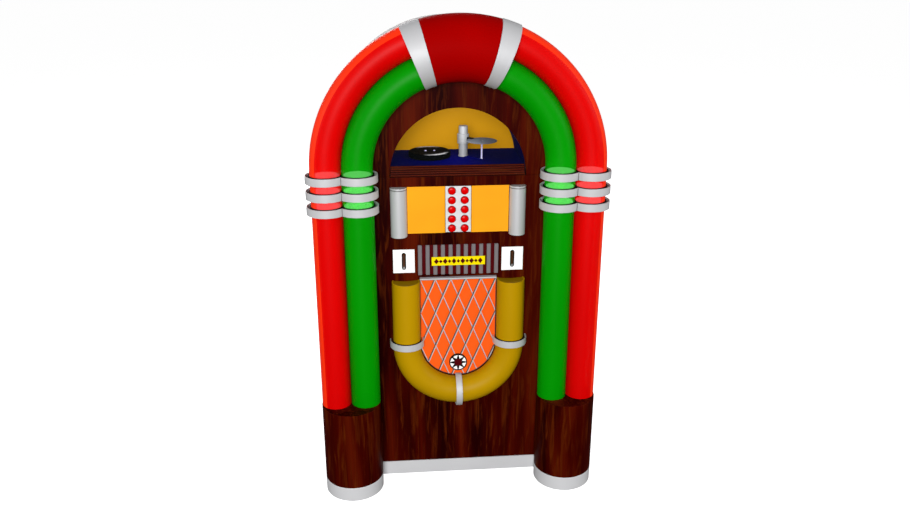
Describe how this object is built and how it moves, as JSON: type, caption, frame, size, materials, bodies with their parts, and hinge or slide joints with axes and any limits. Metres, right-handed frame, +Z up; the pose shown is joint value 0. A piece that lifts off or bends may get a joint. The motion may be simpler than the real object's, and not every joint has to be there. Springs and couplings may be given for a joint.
{
  "type": "jukebox",
  "caption": "Free-standing arched jukebox cabinet with bent light tubes, a window over a record changer, selector buttons, coin slots and a U-shaped tube round the speaker grille.",
  "frame": {"origin": "on the floor under the middle of the body", "axes": "+Z up, the front with the window and the buttons looks along -Y, +X to the viewer's right"},
  "size_m": [0.9134, 0.63, 1.5219],
  "materials": {
    "veneer": "satin lacquer",
    "dark_wood": "satin lacquer",
    "bright_metal": "polished",
    "red_tube": "translucent",
    "green_tube": "translucent",
    "crown_red": "gloss",
    "gold_plastic": "gloss",
    "orange_cloth": "woven",
    "white_enamel": "gloss enamel",
    "black_iron": "matt",
    "amber_sheet": "backlit",
    "white_metal": "satin",
    "button_red": "gloss",
    "slat_grey": "satin",
    "sign_yellow": "gloss",
    "grey_steel": "brushed",
    "navy_paint": "matt",
    "glass": "clear",
    "black_vinyl": "gloss",
    "silver_vinyl": "gloss",
    "pillar_metal": "satin",
    "black_plastic": "matt"
  },
  "bodies": {
    "cabinet": {"cabinet_shell": "veneer", "front_panel": "veneer", "arch_panel": "veneer", "base_trim": "bright_metal", "pedestal_left": "veneer", "red_pilaster_left": "red_tube", "green_pilaster_left": "green_tube", "clasp_left": "bright_metal", "column_left": "bright_metal", "coin_plate_left": "white_enamel", "pedestal_right": "veneer", "red_pilaster_right": "red_tube", "green_pilaster_right": "green_tube", "clasp_right": "bright_metal", "column_right": "bright_metal", "coin_plate_right": "white_enamel", "red_arch": "red_tube", "green_arch": "green_tube", "crown": "crown_red", "crown_band_left": "bright_metal", "crown_band_right": "bright_metal", "gold_tube": "gold_plastic", "gold_ring_left": "bright_metal", "gold_ring_right": "bright_metal", "gold_centre_band": "bright_metal", "grille_cloth": "orange_cloth", "grille_lattice": "bright_metal", "rosette": "white_enamel", "speaker": "black_iron", "title_panel": "amber_sheet", "button_plate": "white_metal", "louvre_backing": "dark_wood", "louvre_slats": "slat_grey", "sign_plate": "sign_yellow", "coin_mechanism": "grey_steel", "chamber_sill": "dark_wood", "chamber_deck": "navy_paint", "chamber_liner": "navy_paint", "window_glass": "glass", "turntable_motor": "grey_steel", "transfer_pillar": "pillar_metal", "lift_collar": "grey_steel", "amplifier": "grey_steel", "door_hinge": "grey_steel", "mains_inlet": "black_plastic"},
    "turntable": {"platter": "black_vinyl", "record": "black_vinyl"},
    "transfer_arm": {"gripper_arm": "grey_steel", "held_record": "silver_vinyl"},
    "service_door": {"back_door": "dark_wood"},
    "button_left_1": {"button_left_1": "button_red"},
    "button_right_1": {"button_right_1": "button_red"},
    "button_left_2": {"button_left_2": "button_red"},
    "button_right_2": {"button_right_2": "button_red"},
    "button_left_3": {"button_left_3": "button_red"},
    "button_right_3": {"button_right_3": "button_red"},
    "button_left_4": {"button_left_4": "button_red"},
    "button_right_4": {"button_right_4": "button_red"},
    "button_left_5": {"button_left_5": "button_red"},
    "button_right_5": {"button_right_5": "button_red"}
  },
  "joints": [
    {"name": "platter_spin", "type": "hinge", "parent": "cabinet", "child": "turntable", "pos_m": [-0.079, -0.022, 1.08], "axis": [0, 0, 1], "continuous": true},
    {"name": "arm_swing", "type": "hinge", "parent": "cabinet", "child": "transfer_arm", "pos_m": [0.028, -0.0225, 1.13], "axis": [0, 0, 1], "range_deg": [-130, 24]},
    {"name": "door_swing", "type": "hinge", "parent": "cabinet", "child": "service_door", "pos_m": [-0.4129, 0.2968, 0.56], "axis": [0, 0, 1], "range_deg": [0, 110]},
    {"name": "button_left_1_press", "type": "slide", "parent": "cabinet", "child": "button_left_1", "axis": [0, 1, 0], "range_m": [0, 0.004], "stiffness_N_per_m": 300},
    {"name": "button_right_1_press", "type": "slide", "parent": "cabinet", "child": "button_right_1", "axis": [0, 1, 0], "range_m": [0, 0.004], "stiffness_N_per_m": 300},
    {"name": "button_left_2_press", "type": "slide", "parent": "cabinet", "child": "button_left_2", "axis": [0, 1, 0], "range_m": [0, 0.004], "stiffness_N_per_m": 300},
    {"name": "button_right_2_press", "type": "slide", "parent": "cabinet", "child": "button_right_2", "axis": [0, 1, 0], "range_m": [0, 0.004], "stiffness_N_per_m": 300},
    {"name": "button_left_3_press", "type": "slide", "parent": "cabinet", "child": "button_left_3", "axis": [0, 1, 0], "range_m": [0, 0.004], "stiffness_N_per_m": 300},
    {"name": "button_right_3_press", "type": "slide", "parent": "cabinet", "child": "button_right_3", "axis": [0, 1, 0], "range_m": [0, 0.004], "stiffness_N_per_m": 300},
    {"name": "button_left_4_press", "type": "slide", "parent": "cabinet", "child": "button_left_4", "axis": [0, 1, 0], "range_m": [0, 0.004], "stiffness_N_per_m": 300},
    {"name": "button_right_4_press", "type": "slide", "parent": "cabinet", "child": "button_right_4", "axis": [0, 1, 0], "range_m": [0, 0.004], "stiffness_N_per_m": 300},
    {"name": "button_left_5_press", "type": "slide", "parent": "cabinet", "child": "button_left_5", "axis": [0, 1, 0], "range_m": [0, 0.004], "stiffness_N_per_m": 300},
    {"name": "button_right_5_press", "type": "slide", "parent": "cabinet", "child": "button_right_5", "axis": [0, 1, 0], "range_m": [0, 0.004], "stiffness_N_per_m": 300}
  ]
}
